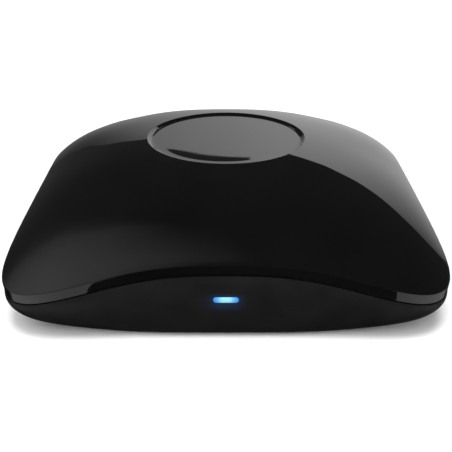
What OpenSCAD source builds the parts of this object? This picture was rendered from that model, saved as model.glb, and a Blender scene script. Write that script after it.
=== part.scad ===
// Square domed infrared remote-control hub for a table: a glossy top shell with a shallow
// round dish, a satin lower shell with a lit slot, and the electronics that they enclose.
// Millimetres. The origin is on the ground under the middle, +Z is up and the slot faces -Y.

/* [Outer form] */
// Width across the widest part of the rim, the same both ways
body_w = 120; // [116:1:128]
// Height of the dome's crown above the base, before the dish is cut
crown_h = 36.7; // [34:0.1:40]
// Height of the rim's upper edge above the base at the middle of each side
rim_mid_h = 20.4; // [19:0.1:22]
// Height of the rim's upper edge above the base at the corners
rim_corner_h = 12.4; // [11.5:0.1:14]
// Height of the upright band under the rim
band_h = 2.9; // [2.2:0.1:3.4]
// How far the band's lower edge stands in from its upper edge
band_inset = 0.4; // [0.1:0.1:0.8]
// How far the base is drawn in under the widest part, at the middle of each side
base_tuck = 3.6; // [2.6:0.1:5]
// Least run of the rounding where the side wall meets the base
base_round = 2; // [1:0.1:3]

/* [Outline seen from above] */
// How square the rim is: 2 is a circle and more is squarer
rim_power = 6.8; // [5:0.1:8]
// How square the base is
base_power = 3.8; // [3:0.1:5]
// Reach of the rim at the middle of a side as a share of its reach beside the corner
waist_share = 0.927; // [0.9:0.001:0.98]

/* [Shells] */
// Thickness of both shells
wall = 2; // [1.7:0.1:2.3]
// Height of the shadow groove between the band and the lower shell
seam_gap = 0.3; // [0.15:0.05:0.5]
// Height of the locating tongue that stands up behind the band
tongue_h = 1.5; // [1:0.1:2]
// Thickness of the locating tongue
tongue_t = 0.8; // [0.6:0.1:1.2]
// Clearance on each side between pieces that slot into each other
fit_gap = 0.1; // [0.05:0.01:0.15]

/* [Dish in the top] */
// Radius of the dish at the top of its wall
dish_r = 23.3; // [21:0.1:26]
// Depth of the dish's flat floor below its lip
dish_depth = 0.6; // [0.4:0.1:1]
// How far the dish's wall leans in over its depth
dish_lean = 0.4; // [0.1:0.1:0.8]
// Width of the flat ring round the dish, bevel and all
lip_ring = 0.8; // [0.5:0.1:1.2]
// Width of the bevel at the top of the dish's wall
lip_bevel = 0.3; // [0.1:0.05:0.4]

/* [Status light] */
// Width of the lit slot, over its round ends
slot_w = 6.7; // [5.5:0.1:8]
// Height of the lit slot
slot_t = 1.6; // [1.3:0.1:2]
// Height of the slot's middle above the base
slot_h = 11.25; // [10.5:0.25:12]
// Height of the light-emitting diode behind the slot
led_h = 1.8; // [1.4:0.1:2]
// Width of that diode
led_w = 3.2; // [2.6:0.1:3.6]
// Depth of that diode
led_d = 1.5; // [1:0.1:2]

/* [Circuit board] */
// Thickness of the board
board_t = 1.6; // [1.2:0.1:2]
// Gap from the round board's edge to the side walls
board_gap = 6; // [5:0.25:7]
// Width of the board's tab that carries the rear parts
tab_w = 34; // [31:1:38]
// Gap between the end of the tab and the rear wall
tab_gap = 0.8; // [0.6:0.1:1]
// How far the board's screws stand in from its edge
board_screw_inset = 9; // [7:0.5:11]

/* [Feet and screws] */
// Radius of a rubber foot
foot_r = 5.5; // [4.8:0.1:6]
// How far the feet stand proud of the base
foot_proud = 0.8; // [0.5:0.1:1.2]
// Depth of the recess that holds a foot
foot_recess = 1.2; // [0.8:0.1:1.4]
// Distance from a foot's edge to the base's edge at the corner
foot_margin = 3; // [2:0.25:4]
// Radius of a case screw's shank
case_screw_r = 1.3; // [1.1:0.05:1.5]
// Length of a case screw under its head
case_screw_len = 12; // [10:0.5:13]
// Radius of a case screw's head
case_head_r = 2.4; // [2:0.1:2.6]
// Height of a case screw's head
case_head_h = 1.6; // [1.2:0.1:2]
// Radius of a board screw's shank
board_screw_r = 1; // [0.8:0.05:1.2]
// Length of a board screw under its head
board_screw_len = 6; // [4.5:0.5:7]
// Radius of a board screw's head
board_head_r = 1.9; // [1.6:0.1:2.2]
// Height of a board screw's head
board_head_h = 1.3; // [1:0.1:1.6]

/* [Infrared emitters] */
// Radius of an emitter's round body
emitter_r = 2.5; // [2.2:0.1:2.6]
// Length of an emitter from its back to the tip of its dome
emitter_len = 8.6; // [8:0.1:9]
// Radius of the collar at an emitter's back
collar_r = 2.9; // [2.7:0.05:3]
// Thickness of that collar
collar_t = 1; // [0.8:0.1:1.4]
// How far an emitter's dome reaches past the board's edge
emitter_reach = 0.7; // [0.2:0.1:1.5]
// Thickness of the square wire of the legs
lead_t = 0.5; // [0.4:0.05:0.6]
// Distance between an emitter's two legs
lead_pitch = 2.54; // [2:0.02:3]

/* [Power socket] */
// Width of the socket's metal shell
usb_w = 7.5; // [7:0.1:8]
// Height of the socket's metal shell
usb_t = 2.5; // [2.3:0.1:2.8]
// Depth of the socket
usb_len = 5.2; // [4.8:0.1:5.8]
// Thickness of the socket's sheet metal
usb_sheet = 0.25; // [0.2:0.05:0.3]
// Gap between the socket and the window in the rear wall
usb_window_gap = 0.5; // [0.3:0.05:0.8]

/* [Reset button] */
// Distance of the button from the middle of the rear wall
button_x = 11; // [10:0.25:12]
// Radius of the button
button_r = 1.4; // [1.2:0.05:1.5]
// How far the button is pressed in
button_travel = 0.4; // [0.25:0.05:0.5]
// How far the button's face lies below the wall's surface
button_recess = 0.2; // [0.1:0.05:0.4]
// Radius of the button's retaining flange
flange_r = 2; // [1.8:0.05:2.1]
// Thickness of that flange
flange_t = 0.8; // [0.6:0.1:1]

/* [Plain recess under the base] */
// Width of the bare recess
recess_w = 46; // [30:1:52]
// Depth of the bare recess from front to back
recess_d = 26; // [18:1:40]
// How deep it is sunk into the base
recess_sink = 0.3; // [0.1:0.05:0.5]
// Radius of its corners
recess_round = 2; // [1:0.5:4]

/* [Hidden] */
EMITTERS = 8;
CORNERS = 4;

$fn = 48;
QUARTER = 90;
EIGHTH = 45;

// Overrun of every cut past the face that it opens
over = 1;

// Colours
gloss_black = [0.03, 0.03, 0.035];
satin_black = [0.09, 0.09, 0.095];
rubber_grey = [0.16, 0.16, 0.17];
lit_blue = [0.45, 0.8, 1];
board_green = [0.05, 0.28, 0.16];
module_black = [0.08, 0.1, 0.12];
tinned = [0.78, 0.78, 0.76];
steel = [0.66, 0.67, 0.69];
epoxy_dark = [0.18, 0.12, 0.2];
chip_black = [0.11, 0.11, 0.12];
ferrite_grey = [0.24, 0.24, 0.25];
contact_gold = [0.85, 0.7, 0.3];

// Form of the dome's section: shares that place the handles of its curve, at the middle of
// a side and at a corner, and the slope in degrees at which it meets the rim
crown_mid_share = 0.54;
crown_corner_share = 0.44;
shoulder_mid_share = 0.25;
shoulder_corner_share = 0.32;
shoulder_mid_angle = 48.6;
shoulder_corner_angle = 40;
// Form of the side wall's section: shares that place its handles, and its lean in degrees
foot_handle_share = 0.43;
side_handle_share = 0.43;
side_mid_lean = 36;
side_corner_lean = 12.5;
// How suddenly the rim drops and swells from the middle of a side to a corner
drop_power = 2.7;
swell_power = 2.6;
diagonal_power = 2.8;

// Mesh of the shells: points round the outline, gathered towards the corners, and rings
AROUND = 80;
GATHER = 7;
DOME_RINGS = 15;
INNER_RINGS = 9;
SIDE_RINGS = 9;
dome_start_share = 0.2;
inner_start_share = 0.36;
inner_side_share = 0.93;

// Heights above the ground
base_z = foot_proud;
floor_z = base_z + wall;
crown_z = base_z + crown_h;
slot_z = base_z + slot_h;
board_top = slot_z - led_h / 2;
board_z = board_top - board_t;
join_z = base_z + rim_corner_h - band_h - seam_gap;

angles = [for (i = [0 : AROUND - 1]) let (a = 360 * i / AROUND) a + GATHER * sin(4 * a)];

// 0 at the middle of a side and 1 at a corner
function diagonal(a) =
    let (c = abs(cos(a)), s = abs(sin(a))) pow(min(c, s) / max(c, s), diagonal_power);
function cornering(a, power) = 1 - pow(1 - diagonal(a), power);
function blend(mid, corner, a) = mid + (corner - mid) * cornering(a, drop_power);
function squircle(a, power) =
    1 / pow(pow(abs(cos(a)), power) + pow(abs(sin(a)), power), 1 / power);

// Outline of the rim and of the base
function rim_form(a) =
    squircle(a, rim_power) * (waist_share + (1 - waist_share) * cornering(a, swell_power));
rim_widest = max([for (a = angles) rim_form(a) * cos(a)]);
function rim_r(a) = body_w / 2 * rim_form(a) / rim_widest;
function base_r(a) = (body_w / 2 - base_tuck) * squircle(a, base_power);
function rim_z(a) = base_z + blend(rim_mid_h, rim_corner_h, a);
function band_z(a) = rim_z(a) - band_h;
function seam_z(a) = band_z(a) - seam_gap;

// Points [distance from the middle, height] on a cubic curve, and its direction there
function curve(c, t) =
    pow(1 - t, 3) * c[0] + 3 * pow(1 - t, 2) * t * c[1] + 3 * (1 - t) * t * t * c[2]
    + pow(t, 3) * c[3];
function heading(c, t) =
    let (v = pow(1 - t, 2) * (c[1] - c[0]) + 2 * (1 - t) * t * (c[2] - c[1])
        + t * t * (c[3] - c[2])) v / norm(v);
// The same point moved square to the curve, to the right of its direction
function beside(c, t, off) = let (v = heading(c, t)) curve(c, t) + off * [v.y, -v.x];

function dome(a) =
    let (r = rim_r(a), z = rim_z(a),
         crown = blend(crown_mid_share, crown_corner_share, a) * r,
         shoulder = blend(shoulder_mid_share, shoulder_corner_share, a) * r,
         slope = blend(shoulder_mid_angle, shoulder_corner_angle, a))
    [[0, crown_z], [crown, crown_z],
     [r - shoulder * cos(slope), z + shoulder * sin(slope)], [r, z]];

function side(a) =
    let (foot = base_r(a), r = rim_r(a) - band_inset, z = seam_z(a),
         run = foot_handle_share * max(r - foot, base_round),
         rise = side_handle_share * (z - base_z),
         lean = blend(side_mid_lean, side_corner_lean, a))
    [[foot, base_z], [foot + run, base_z],
     [r + rise * sin(lean), z - rise * cos(lean)], [r, z]];

// Reach of the side wall at the middle of a side, by its height above the ground
side_table = let (c = side(0)) [for (t = [0 : 0.05 : 1]) [curve(c, t).y, curve(c, t).x]];
function side_reach(z) = lookup(z, side_table);

// Heights of the dish's lip and floor, and of the ceiling under it
dome_table = let (c = dome(0)) [for (t = [0 : 0.02 : 1]) curve(c, t)];
lip_z = lookup(dish_r + lip_ring, dome_table);
dish_floor_z = lip_z - dish_depth;
ceiling_z = dish_floor_z - wall;

// A closed solid whose profiles, one per angle, start and end on the axis
module skin_solid(profiles) {
    n = len(profiles);
    rings = len(profiles[0]) - 2;
    ends = [profiles[0][0].y, profiles[0][rings + 1].y];
    points = concat(
        [[0, 0, ends[0]]],
        [for (j = [1 : rings]) for (i = [0 : n - 1])
            [profiles[i][j].x * cos(angles[i]), profiles[i][j].x * sin(angles[i]), profiles[i][j].y]],
        [[0, 0, ends[1]]]);
    last = len(points) - 1;
    function at(j, i) = 1 + j * n + i % n;
    faces = concat(
        [for (i = [0 : n - 1]) [0, at(0, i + 1), at(0, i)]],
        [for (j = [0 : rings - 2]) for (i = [0 : n - 1])
            let (corners = [at(j, i), at(j, i + 1), at(j + 1, i + 1), at(j + 1, i)],
                 turn = floor(i * 8 / n) % 2)
            each [[corners[turn], corners[turn + 1], corners[turn + 2]],
                  [corners[turn], corners[turn + 2], corners[(turn + 3) % 4]]]],
        [for (i = [0 : n - 1]) [last, at(rings - 1, i), at(rings - 1, i + 1)]]);
    polyhedron(points, faces);
}

// Steps from one share to another along a curve
function steps(from, to, count) = [for (k = [0 : count - 1]) from + (to - from) * k / (count - 1)];

function top_profile(a) =
    let (c = dome(a), r = rim_r(a), z = band_z(a))
    concat([c[0]],
        [for (t = steps(dome_start_share, 1, DOME_RINGS)) curve(c, t)],
        [[r - band_inset, z], [r - wall, z]],
        [for (t = steps(1, inner_start_share, INNER_RINGS))
            let (p = beside(c, t, wall)) [min(p.x, r - wall), min(p.y, ceiling_z)]],
        [[0, ceiling_z]]);

// The middle of the top shell's wall, closed below, which trims the bosses that reach into it
function core_profile(a) =
    let (c = dome(a))
    concat([[0, crown_z - wall / 2]],
        [for (t = steps(inner_start_share, 1, INNER_RINGS)) beside(c, t, wall / 2)],
        [[rim_r(a) - wall, base_z], [0, base_z]]);

function lower_profile(a) =
    let (c = side(a), top = c[3], tongue = rim_r(a) - wall - fit_gap)
    concat([[0, floor_z]],
        [for (t = steps(0, inner_side_share, SIDE_RINGS)) beside(c, t, -wall)],
        [[tongue - tongue_t, top.y - tongue_t / 2],
         [tongue - tongue_t, top.y + tongue_h], [tongue, top.y + tongue_h],
         [tongue, top.y], top],
        [for (t = steps(1, 0, SIDE_RINGS + 1)) if (t < 1) curve(c, t)],
        [[0, base_z]]);

// Places and heights that pieces share

// Clearance round a screw's shank, in a pilot hole and in a through hole
pilot_gap = 0.05;
through_gap = 0.2;
// Clearance round a screw's head in its counterbore, and how far the head lies below the rim
head_gap = 0.2;
head_sink = 0.2;
// Spare depth at the end of a blind hole
spare = 0.6;
// Walls round the screw holes
boss_wall = 2.1;
board_post_wall = 1.6;
top_boss_wall = 1.8;
boss_r = case_screw_r + through_gap + boss_wall;
top_boss_r = case_screw_r + pilot_gap + top_boss_wall;
board_post_r = board_screw_r + pilot_gap + board_post_wall;

foot_dist = base_r(EIGHTH) - foot_margin - foot_r;
head_seat_z = base_z + foot_recess + head_sink + case_head_h;
board_r = side_reach(board_z) - wall - board_gap;
board_screw_dist = board_r - board_screw_inset;

module at_corners(dist) {
    for (k = [0 : CORNERS - 1]) rotate([0, 0, EIGHTH + QUARTER * k]) translate([dist, 0, 0]) children();
}

// Emitters stand half a step off the axes, so none points at the slot or the socket
emitter_step = 360 / EMITTERS;
function emitter_angle(i) = emitter_step * (i + 1 / 2);
emitter_z = board_top + collar_r + fit_gap;
emitter_back = board_r + emitter_reach - emitter_len;
// Run of the legs behind an emitter before they turn down
lead_reach = 1.5;
// Height of the upward emitter's back above the board
top_emitter_h = 3;

// Driver transistors: their size, legs, gap to the emitters' legs, and ring
transistor_size = [2.9, 1.3, 1];
transistor_leg = [0.4, 0.5, 1.9];
transistor_gap = 3.15;
driver_dist = emitter_back - lead_reach - transistor_gap - transistor_size.y / 2;
// Free radius inside that ring, where the larger parts stand, and their clearance to it
clear_r = driver_dist - transistor_size.y / 2 - transistor_leg.y;
clear_gap = 2;
// Distance from the middle at which the outer corners of something 2 w wide keep that clearance
function corner_reach(w) = sqrt(clear_r * clear_r - w * w) - clear_gap;

// Rear socket and button
usb_z = board_top + usb_t / 2;
// How far the socket's mouth lies below the wall's surface
usb_recess = 0.5;
usb_mouth = side_reach(usb_z) - usb_recess;
usb_back = usb_mouth - usb_len;
usb_window = [usb_w + 2 * usb_window_gap, usb_recess + wall + 2 * over, usb_t + 2 * usb_window_gap];

// Tactile switch: its width, depth and height, and its plunger
switch_w = 6;
switch_d = 3.6;
switch_h = 4.4;
plunger_r = 1;
plunger_proud = 1.2;
plunger_in = 0.8;
// Length of the wall's guide for the button past the wall's inside, its wall and clearance
guide_len = 0.6;
guide_wall = 1.1;
guide_gap = 0.1;
// Gap between the flange and the guide at rest, and length of the stem to the plunger
flange_gap = 0.1;
stem_len = 1.6;

button_z = board_top + switch_h / 2;
button_face = side_reach(button_z) - button_recess;
guide_end = side_reach(button_z) - wall - guide_len;
flange_front = guide_end - flange_gap;
plunger_front = flange_front - flange_t - stem_len;
switch_front = plunger_front - plunger_proud;

// Light pipe: its flange behind the wall and its stem to the diode
pipe_flange_gap = 0.25;
pipe_flange_t = 0.8;
pipe_flange_rim = 0.9;
pipe_stem_w = 3.6;
pipe_led_gap = 0.1;
// How far the diode stands in from the board's edge
led_setback = 0.3;
led_front = board_r - led_setback;

// Small building blocks

// A block with round upright edges, centred on the axis, standing on z = 0
module rounded_block(size, r) {
    linear_extrude(size.z) rounded_rect(size.x, size.y, r);
}

module rounded_rect(w, d, r) {
    square([w - 2 * r, d], center = true);
    square([w, d - 2 * r], center = true);
    for (x = [-1, 1], y = [-1, 1]) translate([x * (w / 2 - r), y * (d / 2 - r)]) circle(r);
}

// A block centred on the axis, standing on z = 0
module block(size) {
    translate([-size.x / 2, -size.y / 2, 0]) cube(size);
}

// A slot shape with round ends, w by t, that runs from y = 0 along +Y
module stadium(w, t, len) {
    rotate([-QUARTER, 0, 0]) linear_extrude(len) {
        square([w - t, t], center = true);
        for (x = [-1, 1]) translate([x * (w - t) / 2, 0]) circle(t / 2);
    }
}

// A cylinder that runs from y = 0 along +Y
module rod_y(r, len) {
    rotate([-QUARTER, 0, 0]) cylinder(r = r, h = len);
}

// Share of a screw's head that the cross recess takes, in depth, length and width
recess_depth_share = 0.6;
recess_len_share = 1.2;
recess_w_share = 0.28;
screw_tip_share = 0.35;

// A screw with its seat at z = 0, its shank along +Z and a domed head below with a cross recess
module screw(r, len, head_r, head_h) {
    tip = r * (1 - screw_tip_share);
    union() {
        cylinder(r = r, h = len - 2 * tip);
        translate([0, 0, len - 2 * tip]) cylinder(r1 = r, r2 = r - tip, h = 2 * tip);
    }
    difference() {
        rotate_extrude() polygon([
            [0, 0], [head_r, 0], [head_r, -head_h / 2], [head_r - head_h / 4, -head_h * 7 / 8],
            [head_r - head_h / 2, -head_h], [0, -head_h]]);
        for (k = [0, 1]) rotate([0, 0, QUARTER * k])
            translate([0, 0, -head_h - over])
            block([head_r * recess_len_share, head_r * recess_w_share, over + head_h * recess_depth_share]);
    }
}

// Outer casing

module dish_cut() {
    rotate_extrude($fn = 96) polygon([
        [0, dish_floor_z], [dish_r - dish_lean, dish_floor_z], [dish_r, lip_z - lip_bevel],
        [dish_r + lip_bevel, lip_z], [dish_r + lip_ring, lip_z],
        [dish_r + lip_ring, crown_z + over], [0, crown_z + over]]);
}

module top_shell() {
    color(gloss_black)
    difference() {
        union() {
            difference() {
                skin_solid([for (a = angles) top_profile(a)]);
                dish_cut();
            }
            intersection() {
                skin_solid([for (a = angles) core_profile(a)]);
                at_corners(foot_dist) translate([0, 0, join_z]) cylinder(r = top_boss_r, h = crown_h);
            }
        }
        at_corners(foot_dist) translate([0, 0, join_z - over])
            cylinder(r = case_screw_r + pilot_gap,
                h = over + case_screw_len - (join_z - head_seat_z) + spare);
    }
}

module lower_shell() {
    color(satin_black)
    difference() {
        union() {
            skin_solid([for (a = angles) lower_profile(a)]);
            at_corners(foot_dist) translate([0, 0, base_z + wall / 2])
                cylinder(r = boss_r, h = join_z - base_z - wall / 2);
            at_corners(board_screw_dist) translate([0, 0, base_z + wall / 2])
                cylinder(r = board_post_r, h = board_z - base_z - wall / 2);
            translate([button_x, guide_end, button_z])
                rod_y(button_r + guide_gap + guide_wall, guide_len + wall / 2);
        }
        at_corners(foot_dist) {
            translate([0, 0, base_z - over]) {
                cylinder(r = foot_r + fit_gap, h = over + foot_recess);
                cylinder(r = case_head_r + head_gap, h = over + head_seat_z - base_z);
                cylinder(r = case_screw_r + through_gap, h = over + crown_h);
            }
        }
        at_corners(board_screw_dist)
            translate([0, 0, board_top - board_screw_len - spare])
            cylinder(r = board_screw_r + pilot_gap, h = board_screw_len + spare);
        translate([0, 0, base_z - over])
            rounded_block([recess_w, recess_d, over + recess_sink], recess_round);
        translate([0, -side_reach(slot_z) - over, slot_z]) stadium(slot_w, slot_t, wall + 2 * over);
        translate([-usb_window.x / 2, usb_mouth - wall - over, usb_z - usb_window.z / 2]) cube(usb_window);
        translate([button_x, guide_end - over, button_z])
            rod_y(button_r + guide_gap, guide_len + wall + 2 * over);
    }
}

module light_pipe() {
    face = side_reach(slot_z);
    flange_face = face - wall - pipe_flange_gap;
    w = slot_w - 2 * fit_gap;
    t = slot_t - 2 * fit_gap;
    color(lit_blue)
    translate([0, 0, slot_z]) {
        translate([0, -face, 0]) stadium(w, t, face - flange_face);
        translate([0, -flange_face, 0])
            stadium(w + 2 * pipe_flange_rim, t + 2 * pipe_flange_rim, pipe_flange_t);
        translate([-pipe_stem_w / 2, -flange_face, -t / 2])
            cube([pipe_stem_w, flange_face - led_front - pipe_led_gap, t]);
    }
}

module foot() {
    chamfer = foot_proud / 2;
    h = foot_proud + foot_recess;
    color(rubber_grey)
    rotate_extrude() polygon([
        [0, 0], [foot_r - chamfer, 0], [foot_r, chamfer], [foot_r, h], [0, h]]);
}

// Board and what stands on it

module main_board() {
    tab_end = side_reach(board_z) - wall - tab_gap;
    color(board_green)
    translate([0, 0, board_z])
    difference() {
        union() {
            cylinder(r = board_r, h = board_t, $fn = 96);
            translate([-tab_w / 2, 0, 0]) cube([tab_w, tab_end, board_t]);
        }
        at_corners(board_screw_dist) translate([0, 0, -over])
            cylinder(r = board_screw_r + through_gap, h = board_t + 2 * over);
    }
}

module status_led() {
    // Depth of the lit face in front of the diode's moulded back, as a share of its depth
    face_share = 0.4;
    base_h = led_h / 4;
    color(lit_blue)
    translate([0, -led_front, board_top]) {
        translate([-led_w / 2, led_d * face_share, 0]) cube([led_w, led_d * (1 - face_share), led_h]);
        translate([-led_w / 2 + base_h / 2, 0, base_h / 2])
            cube([led_w - base_h, led_d * face_share, led_h - base_h]);
    }
}

// An emitter with its back on z = 0 that looks along +Z
module emitter_body() {
    cylinder(r = collar_r, h = collar_t);
    cylinder(r = emitter_r, h = emitter_len - emitter_r);
    translate([0, 0, emitter_len - emitter_r]) sphere(emitter_r);
}

module ir_emitter(i) {
    color(epoxy_dark)
    rotate([0, 0, emitter_angle(i)]) translate([emitter_back, 0, emitter_z])
        rotate([0, QUARTER, 0]) emitter_body();
}

module ir_emitter_top() {
    color(epoxy_dark) translate([0, 0, board_top + top_emitter_h]) emitter_body();
}

module emitter_leads() {
    color(tinned) {
        for (i = [0 : EMITTERS - 1], side = [-1, 1])
            rotate([0, 0, emitter_angle(i)])
            translate([emitter_back - lead_reach, side * lead_pitch / 2 - lead_t / 2, 0]) {
                translate([0, 0, emitter_z - lead_t / 2]) cube([lead_reach, lead_t, lead_t]);
                translate([0, 0, board_top]) cube([lead_t, lead_t, emitter_z - board_top]);
            }
        for (side = [-1, 1]) translate([side * lead_pitch / 2, 0, board_top])
            block([lead_t, lead_t, top_emitter_h]);
    }
}

// Receiver for learning codes: its body, its place, its lift off the board and its lens
receiver_w = 5;
receiver_d = 2.8;
receiver_h = 6.6;
receiver_inset = 7;
receiver_lift = 1;
receiver_lens_r = 1.8;
receiver_lens_z = 4.3;
receiver_front = board_r - receiver_inset;
// It stands halfway between the light pipe and the nearest emitter
receiver_x = receiver_front * tan(emitter_step / 4);

module ir_receiver() {
    color(epoxy_dark)
    translate([receiver_x, -receiver_front, board_top + receiver_lift]) {
        translate([-receiver_w / 2, 0, 0]) cube([receiver_w, receiver_d, receiver_h]);
        translate([0, 0, receiver_lens_z]) sphere(receiver_lens_r);
    }
}

module receiver_leads() {
    color(tinned)
    for (k = [-1 : 1])
        translate([receiver_x + k * lead_pitch / 2, -receiver_front + receiver_d / 2, board_top])
        block([lead_t, lead_t, receiver_lift]);
}

// Radio module: its own small board and the shield can over its chips
wifi_size = [16, 24, 0.8];
wifi_x = wifi_size.x / 2 - corner_reach(wifi_size.y / 2);
shield_size = [12.5, 15, 2.4];
shield_shift = 3;
shield_sheet = 0.2;
small_round = 0.8;

module wifi_board() {
    color(module_black)
    translate([wifi_x, 0, board_top]) rounded_block(wifi_size, small_round);
}

module wifi_shield() {
    inside = [shield_size.x - 2 * shield_sheet, shield_size.y - 2 * shield_sheet, shield_size.z];
    color(tinned)
    translate([wifi_x, -shield_shift, board_top + wifi_size.z])
    difference() {
        rounded_block(shield_size, small_round);
        translate([0, 0, -shield_sheet]) rounded_block(inside, small_round - shield_sheet);
    }
}

// The socket's section, drawn in by a distance from its outside
usb_chamfer = 1.1;
usb_shoulder_share = 0.45;
function usb_section(in) =
    let (w = usb_w / 2 - in, low = -usb_t / 2 + in, high = usb_t / 2 - in,
         knee = low + usb_shoulder_share * usb_t)
    [[-w, high], [-w, knee], [-w + usb_chamfer, low], [w - usb_chamfer, low], [w, knee], [w, high]];

module along_y(from, to) {
    translate([0, to, usb_z]) rotate([QUARTER, 0, 0]) linear_extrude(to - from) children();
}

// Tongue of the socket: the block that holds it, its width, thickness and setback
usb_block_t = 1.2;
usb_tongue_w = 4.2;
usb_tongue_t = 0.7;
usb_tongue_setback = 0.8;
usb_insert_gap = 0.03;
contact_w = 0.35;
contact_t = 0.15;
contact_pitch = 0.65;
CONTACTS = 5;

module usb_shell() {
    color(steel)
    along_y(usb_back, usb_mouth) difference() {
        polygon(usb_section(0));
        polygon(usb_section(usb_sheet));
    }
}

module usb_tongue() {
    color(chip_black) {
        along_y(usb_back, usb_back + usb_block_t) polygon(usb_section(usb_sheet + usb_insert_gap));
        along_y(usb_back + usb_block_t, usb_mouth - usb_tongue_setback)
            square([usb_tongue_w, usb_tongue_t], center = true);
    }
}

module usb_contacts() {
    color(contact_gold)
    for (k = [0 : CONTACTS - 1])
        along_y(usb_back + usb_block_t, usb_mouth - usb_tongue_setback - contact_w)
            translate([(k - (CONTACTS - 1) / 2) * contact_pitch, -usb_tongue_t / 2 - contact_t / 2])
            square([contact_w, contact_t], center = true);
}

module reset_button() {
    color(satin_black)
    translate([button_x, 0, button_z]) {
        translate([0, flange_front, 0]) rod_y(button_r, button_face - flange_front);
        translate([0, flange_front - flange_t, 0]) rod_y(flange_r, flange_t);
        translate([0, plunger_front, 0]) rod_y(plunger_r, stem_len);
    }
}

module switch_body() {
    color(chip_black)
    difference() {
        translate([button_x - switch_w / 2, switch_front - switch_d, board_top])
            cube([switch_w, switch_d, switch_h]);
        translate([button_x, switch_front - plunger_in - button_travel - spare, button_z])
            rod_y(plunger_r + guide_gap, plunger_in + button_travel + spare + over);
    }
}

module switch_plunger() {
    color(tinned)
    translate([button_x, switch_front - plunger_in, button_z]) rod_y(plunger_r, plunger_in + plunger_proud);
}

// Bulk capacitors: their cans with a crimp groove, their seats and their places
can_r = 3.15;
can_h = 7.2;
can_round = 0.3;
groove_z = 1.4;
groove_depth = 0.3;
seat_w = 6.6;
seat_h = 0.9;
// The capacitors and the inductor stand in one row
inductor_size = [7, 7, 3.8];
row_gap = 1.6;
row_pitch = seat_w + row_gap;
row_y = corner_reach(row_pitch + inductor_size.x / 2) - inductor_size.y / 2;
capacitor_places = [[-row_pitch, row_y], [0, row_y]];

module capacitor(place) {
    color(tinned)
    translate([place.x, place.y, board_top + seat_h])
    rotate_extrude() polygon([
        [0, 0], [can_r, 0], [can_r, groove_z - groove_depth], [can_r - groove_depth, groove_z],
        [can_r, groove_z + groove_depth], [can_r, can_h - can_round], [can_r - can_round, can_h],
        [0, can_h]]);
}

module capacitor_seats() {
    color(chip_black)
    for (place = capacitor_places) translate([place.x, place.y, board_top])
        rounded_block([seat_w, seat_w, seat_h], small_round);
}

core_r = 2.4;
core_groove = 0.5;

module power_inductor() {
    color(ferrite_grey)
    translate([row_pitch, row_y, board_top])
    difference() {
        rounded_block(inductor_size, small_round);
        translate([0, 0, inductor_size.z - core_groove]) difference() {
            cylinder(r = core_r + core_groove, h = core_groove + over);
            cylinder(r = core_r, h = core_groove + over);
        }
    }
}

// Flat packages with legs on two sides. Each one's place is a share of the free radius
leg_t = 0.25;

module package(size, legs_front, legs_back, leg_w, leg_reach, pitch) {
    translate([0, 0, leg_t / 2]) block([size.x, size.y, size.z]);
    for (row = [[legs_front, -1], [legs_back, 1]], k = [0 : row[0] - 1])
        translate([(k - (row[0] - 1) / 2) * pitch, row[1] * (size.y + leg_reach) / 2, 0])
        block([leg_w, leg_reach, leg_t * 2]);
}

regulator_size = [6.5, 3.5, 1.6];
regulator_share = [0.58, 0.36];
regulator_place = clear_r * regulator_share;
regulator_leg = [0.75, 1.7, 2.3];
tab_leg = [3, 1.7];

module voltage_regulator() {
    color(chip_black)
    translate([regulator_place.x, regulator_place.y, board_top]) {
        package(regulator_size, 3, 0, regulator_leg.x, regulator_leg.y, regulator_leg.z);
        package(regulator_size, 0, 1, tab_leg.x, tab_leg.y, 0);
    }
}

chip_size = [7, 7, 1];
chip_share = [0.56, -0.27];
chip_place = clear_r * chip_share;
chip_leg = [0.3, 1, 0.8];
CHIP_LEGS = 8;

module control_chip() {
    color(chip_black)
    translate([chip_place.x, chip_place.y, board_top])
    for (k = [0, 1]) rotate([0, 0, QUARTER * k])
        package(chip_size, CHIP_LEGS, CHIP_LEGS, chip_leg.x, chip_leg.y, chip_leg.z);
}

crystal_size = [5, 3.2, 1.2];
crystal_share = [0.56, 0.08];
crystal_place = clear_r * crystal_share;

module crystal() {
    color(tinned)
    translate([crystal_place.x, crystal_place.y, board_top]) rounded_block(crystal_size, small_round);
}

// One driver transistor and one resistor for each emitter
resistor_size = [1.25, 2, 0.5];
resistor_end = 0.4;
resistor_angle = 8;
resistor_shift = 1;

module driver_transistors() {
    color(chip_black)
    for (i = [0 : EMITTERS - 1]) rotate([0, 0, emitter_angle(i)])
        translate([driver_dist, 0, board_top])
        rotate([0, 0, QUARTER]) {
            package(transistor_size, 2, 0, transistor_leg.x, transistor_leg.y, transistor_leg.z);
            package(transistor_size, 0, 1, transistor_leg.x, transistor_leg.y, 0);
        }
}

module chip_resistors() {
    color(chip_black)
    for (i = [0 : EMITTERS - 1]) rotate([0, 0, emitter_angle(i) + resistor_angle])
        translate([emitter_back - lead_reach - resistor_shift, 0, board_top]) {
            block(resistor_size);
            for (side = [-1, 1]) translate([0, side * (resistor_size.y - resistor_end) / 2, 0])
                block([resistor_size.x, resistor_end, resistor_size.z + resistor_end / 4]);
        }
}

module case_screws() {
    color(steel)
    at_corners(foot_dist) translate([0, 0, head_seat_z])
        screw(case_screw_r, case_screw_len, case_head_r, case_head_h);
}

module board_screws() {
    color(steel)
    at_corners(board_screw_dist) translate([0, 0, board_top]) mirror([0, 0, 1])
        screw(board_screw_r, board_screw_len, board_head_r, board_head_h);
}

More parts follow.
